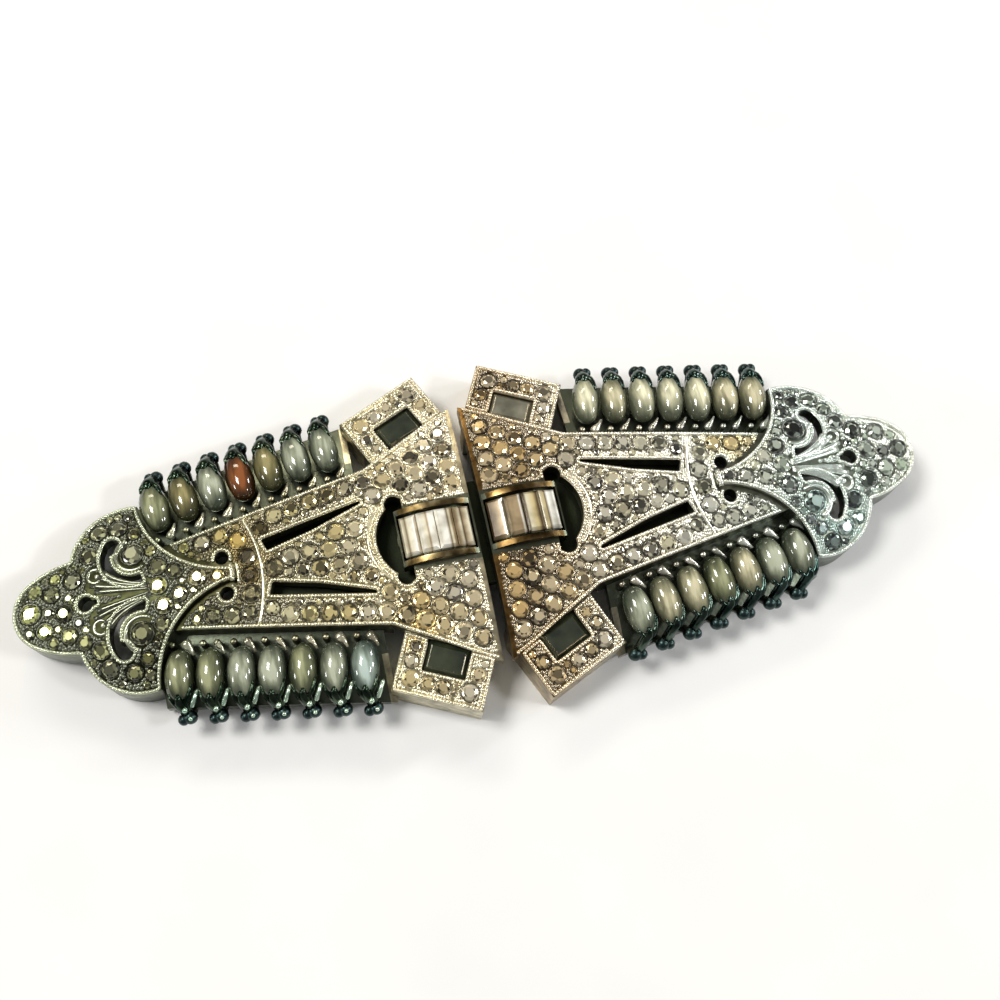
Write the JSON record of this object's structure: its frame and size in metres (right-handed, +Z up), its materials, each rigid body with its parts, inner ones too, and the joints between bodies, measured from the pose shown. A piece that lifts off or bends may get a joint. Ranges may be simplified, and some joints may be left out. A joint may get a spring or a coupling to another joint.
{
  "type": "double clip rhinestone brooch",
  "caption": "Long silver double clip brooch: two domed pierced clips with palmette tips, paved with clear rhinestones, with rows of oval glass cabochons and barrels of baguettes.",
  "frame": {"origin": "centre of the brooch's footprint on the plane of its back", "axes": "+X along the length to the right clip's tip, +Y across to the far row of cabochons, +Z up out of the front"},
  "size_m": [0.082, 0.0318, 0.0073],
  "materials": {
    "plated_metal": "bright rhodium-like plating, lightly worn",
    "pin_metal": "satin",
    "cabochon_glass": "polished grey-green glass",
    "baguette_glass": "polished, champagne",
    "dark_glass": "polished, near black green",
    "rhinestone": "faceted, foiled, clear"
  },
  "bodies": {
    "root": {"clip_left": "plated_metal", "clip_right": "plated_metal", "pin_back": "pin_metal", "cabochon_left_far_1": "cabochon_glass", "cabochon_left_far_2": "cabochon_glass", "cabochon_left_far_3": "cabochon_glass", "cabochon_left_far_4": "cabochon_glass", "cabochon_left_far_5": "cabochon_glass", "cabochon_left_far_6": "cabochon_glass", "cabochon_left_far_7": "cabochon_glass", "cabochon_left_near_1": "cabochon_glass", "cabochon_left_near_2": "cabochon_glass", "cabochon_left_near_3": "cabochon_glass", "cabochon_left_near_4": "cabochon_glass", "cabochon_left_near_5": "cabochon_glass", "cabochon_left_near_6": "cabochon_glass", "cabochon_left_near_7": "cabochon_glass", "cabochon_right_far_1": "cabochon_glass", "cabochon_right_far_2": "cabochon_glass", "cabochon_right_far_3": "cabochon_glass", "cabochon_right_far_4": "cabochon_glass", "cabochon_right_far_5": "cabochon_glass", "cabochon_right_far_6": "cabochon_glass", "cabochon_right_far_7": "cabochon_glass", "cabochon_right_near_1": "cabochon_glass", "cabochon_right_near_2": "cabochon_glass", "cabochon_right_near_3": "cabochon_glass", "cabochon_right_near_4": "cabochon_glass", "cabochon_right_near_5": "cabochon_glass", "cabochon_right_near_6": "cabochon_glass", "cabochon_right_near_7": "cabochon_glass", "baguette_left_1": "baguette_glass", "baguette_left_2": "baguette_glass", "baguette_left_3": "baguette_glass", "baguette_left_4": "baguette_glass", "baguette_right_1": "baguette_glass", "baguette_right_2": "baguette_glass", "baguette_right_3": "baguette_glass", "baguette_right_4": "baguette_glass", "square_stone_left_far": "dark_glass", "square_stone_left_near": "dark_glass", "square_stone_right_far": "dark_glass", "square_stone_right_near": "dark_glass"}
  },
  "joints": []
}
